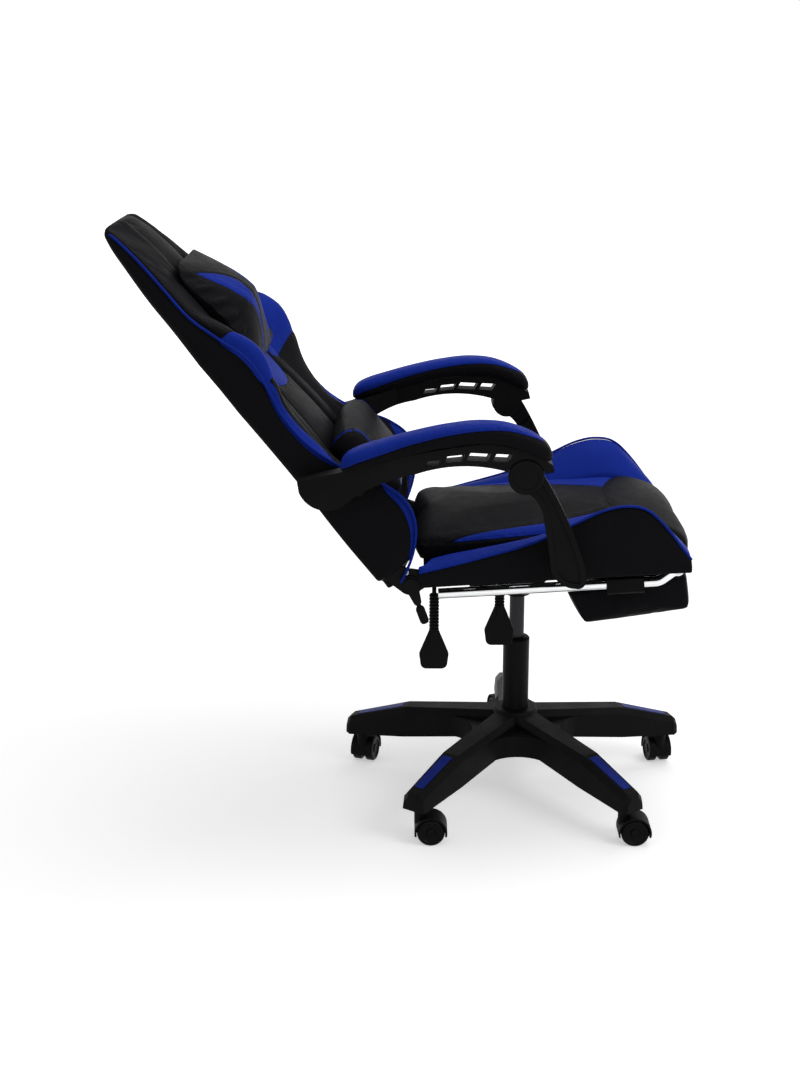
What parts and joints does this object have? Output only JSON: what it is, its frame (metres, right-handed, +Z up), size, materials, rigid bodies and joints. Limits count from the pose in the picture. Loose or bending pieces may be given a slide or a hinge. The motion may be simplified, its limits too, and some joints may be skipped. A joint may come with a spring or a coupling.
{
  "type": "gaming chair",
  "caption": "Reclining gaming chair with bolstered seat, neck and lower back pillows, linked armrests, slide-out footrest, gas lift and star base on twin-wheel casters.",
  "frame": {"origin": "where the swivel axis of the gas lift meets the floor, at the foot of the casters", "axes": "+Z up along the swivel axis, the chair faces -Y, the sitter's right side with the levers is -X"},
  "size_m": [0.6965, 1.055, 1.092],
  "materials": {
    "black_leather": "semi-gloss artificial leather",
    "blue_leather": "semi-gloss artificial leather",
    "black_nylon": "moulded, fine grain",
    "blue_plastic": "moulded, satin",
    "black_steel": "powder coated",
    "grey_steel": "dark satin enamel",
    "chrome": "polished",
    "zinc": "zinc plated",
    "webbing": "woven elastic",
    "grip_rubber": "matte"
  },
  "bodies": {
    "base": {"star_base": "black_nylon", "leg_inlays": "blue_plastic", "lift_column": "black_steel", "column_bush": "black_nylon", "thrust_bearing": "zinc"},
    "piston": {"piston_rod": "zinc"},
    "carrier": {"gas_cylinder": "grey_steel", "tilt_housing": "black_steel", "tilt_spring": "zinc"},
    "gas_button": {"release_button": "zinc"},
    "lift_lever": {"lift_rod": "black_steel", "lift_paddle": "black_nylon"},
    "seat": {"seat_plate": "black_steel", "tilt_axle": "zinc", "seat_frame": "black_steel", "seat_webbing": "webbing", "seat_cushion": "black_leather", "seat_bolsters": "black_leather", "recliner_seat_plates": "black_steel", "arm_brackets": "black_steel", "recliner_pivots": "zinc", "seat_bolts": "zinc", "footrest_guides": "black_nylon"},
    "lock_lever": {"lock_rod": "black_steel", "lock_paddle": "black_nylon"},
    "recline_lever": {"recline_arm": "black_steel", "recline_grip": "grip_rubber"},
    "back": {"back_frame": "black_steel", "back_cushion": "black_leather", "back_panel": "webbing", "recliner_back_plates": "black_steel", "head_pillow": "black_leather", "lumbar_pillow": "black_leather"},
    "arm_left": {"arm_frame_left": "black_nylon", "arm_pad_left": "blue_leather", "arm_disc_left": "black_nylon"},
    "arm_right": {"arm_frame_right": "black_nylon", "arm_pad_right": "blue_leather", "arm_disc_right": "black_nylon"},
    "post_left": {"upright_left": "black_nylon"},
    "post_right": {"upright_right": "black_nylon"},
    "footrest": {"footrest_tubes": "chrome", "footrest_rod": "chrome"},
    "footrest_flap": {"footrest_board": "black_steel", "footrest_cushion": "black_leather"},
    "caster_1": {"caster_hood_1": "black_nylon", "caster_pins_1": "zinc"},
    "wheels_1": {"caster_wheels_1": "black_nylon"},
    "caster_2": {"caster_hood_2": "black_nylon", "caster_pins_2": "zinc"},
    "wheels_2": {"caster_wheels_2": "black_nylon"},
    "caster_3": {"caster_hood_3": "black_nylon", "caster_pins_3": "zinc"},
    "wheels_3": {"caster_wheels_3": "black_nylon"},
    "caster_4": {"caster_hood_4": "black_nylon", "caster_pins_4": "zinc"},
    "wheels_4": {"caster_wheels_4": "black_nylon"},
    "caster_5": {"caster_hood_5": "black_nylon", "caster_pins_5": "zinc"},
    "wheels_5": {"caster_wheels_5": "black_nylon"}
  },
  "joints": [
    {"name": "seat_swivel", "type": "hinge", "parent": "base", "child": "piston", "pos_m": [0, 0, 0.17], "axis": [0, 0, 1], "continuous": true},
    {"name": "lift_slide", "type": "slide", "parent": "piston", "child": "carrier", "axis": [0, 0, 1], "range_m": [-0.075, 0.025]},
    {"name": "lift_lever_hinge", "type": "hinge", "parent": "carrier", "child": "lift_lever", "pos_m": [-0.0375, 0, 0.452], "axis": [0, 1, 0], "range_deg": [0, 6], "stiffness_Nm_per_rad": 3, "springref_deg": -2.86},
    {"name": "gas_button_slide", "type": "slide", "parent": "carrier", "child": "gas_button", "axis": [0, 0, -1], "range_m": [0, 0.004]},
    {"name": "tilt_hinge", "type": "hinge", "parent": "carrier", "child": "seat", "pos_m": [0, -0.07694, 0.46464], "axis": [-1, 0, 0], "range_deg": [0, 12], "stiffness_Nm_per_rad": 400, "springref_deg": -22.92, "deforming": ["tilt_spring"]},
    {"name": "lock_lever_hinge", "type": "hinge", "parent": "seat", "child": "lock_lever", "pos_m": [-0.0485, 0.159, 0.452], "axis": [0, 1, 0], "range_deg": [0, 6], "stiffness_Nm_per_rad": 3, "springref_deg": -2.86},
    {"name": "recline_hinge", "type": "hinge", "parent": "seat", "child": "back", "pos_m": [0, 0.202, 0.485], "axis": [1, 0, 0], "range_deg": [-10, 33]},
    {"name": "recline_lever_hinge", "type": "hinge", "parent": "seat", "child": "recline_lever", "pos_m": [-0.2346, 0.202, 0.485], "axis": [-1, 0, 0], "range_deg": [0, 15], "stiffness_Nm_per_rad": 3, "springref_deg": -2.86},
    {"name": "arm_left_tail_hinge", "type": "hinge", "parent": "back", "child": "arm_left", "pos_m": [0.27, 0.288, 0.659], "axis": [1, 0, 0], "range_deg": [-33, 10]},
    {"name": "arm_right_tail_hinge", "type": "hinge", "parent": "back", "child": "arm_right", "pos_m": [-0.27, 0.288, 0.659], "axis": [1, 0, 0], "range_deg": [-33, 10]},
    {"name": "post_left_foot_hinge", "type": "hinge", "parent": "seat", "child": "post_left", "pos_m": [0.29, -0.076, 0.522], "axis": [1, 0, 0], "range_deg": [-10, 33]},
    {"name": "post_right_foot_hinge", "type": "hinge", "parent": "seat", "child": "post_right", "pos_m": [-0.29, -0.076, 0.522], "axis": [1, 0, 0], "range_deg": [-10, 33]},
    {"name": "footrest_slide", "type": "slide", "parent": "seat", "child": "footrest", "axis": [0, -0.9981, 0.061], "range_m": [0, 0.22]},
    {"name": "footrest_flip", "type": "hinge", "parent": "footrest", "child": "footrest_flap", "pos_m": [0, -0.27271, 0.49064], "axis": [-1, 0, 0], "range_deg": [0, 175]},
    {"name": "caster_1_swivel", "type": "hinge", "parent": "base", "child": "caster_1", "pos_m": [0.312, 0, 0.067], "axis": [0, 0, 1], "continuous": true},
    {"name": "caster_1_roll", "type": "hinge", "parent": "caster_1", "child": "wheels_1", "pos_m": [0.32985, 0.0065, 0.025], "axis": [-0.342, 0.9397, 0], "continuous": true},
    {"name": "caster_2_swivel", "type": "hinge", "parent": "base", "child": "caster_2", "pos_m": [0.09641, 0.29673, 0.067], "axis": [0, 0, 1], "continuous": true},
    {"name": "caster_2_roll", "type": "hinge", "parent": "caster_2", "child": "wheels_2", "pos_m": [0.11448, 0.29086, 0.025], "axis": [0.309, 0.9511, 0], "continuous": true},
    {"name": "caster_3_swivel", "type": "hinge", "parent": "base", "child": "caster_3", "pos_m": [-0.25241, 0.18339, 0.067], "axis": [0, 0, 1], "continuous": true},
    {"name": "caster_3_roll", "type": "hinge", "parent": "caster_3", "child": "wheels_3", "pos_m": [-0.25241, 0.16439, 0.025], "axis": [1, 0, 0], "continuous": true},
    {"name": "caster_4_swivel", "type": "hinge", "parent": "base", "child": "caster_4", "pos_m": [-0.25241, -0.18339, 0.067], "axis": [0, 0, 1], "continuous": true},
    {"name": "caster_4_roll", "type": "hinge", "parent": "caster_4", "child": "wheels_4", "pos_m": [-0.25241, -0.20239, 0.025], "axis": [1, 0, 0], "continuous": true},
    {"name": "caster_5_swivel", "type": "hinge", "parent": "base", "child": "caster_5", "pos_m": [0.09641, -0.29673, 0.067], "axis": [0, 0, 1], "continuous": true},
    {"name": "caster_5_roll", "type": "hinge", "parent": "caster_5", "child": "wheels_5", "pos_m": [0.11513, -0.29343, 0.025], "axis": [-0.1736, 0.9848, 0], "continuous": true}
  ],
  "couplings": [
    {"joint": "gas_button_slide", "follows": "lift_lever_hinge", "m_per_rad": 0.0375},
    {"joint": "arm_left_tail_hinge", "follows": "recline_hinge", "ratio": -1},
    {"joint": "arm_right_tail_hinge", "follows": "recline_hinge", "ratio": -1},
    {"joint": "post_left_foot_hinge", "follows": "recline_hinge", "ratio": 1},
    {"joint": "post_right_foot_hinge", "follows": "recline_hinge", "ratio": 1},
    {"joint": "footrest_flip", "follows": "footrest_slide", "rad_per_m": 13.88}
  ]
}
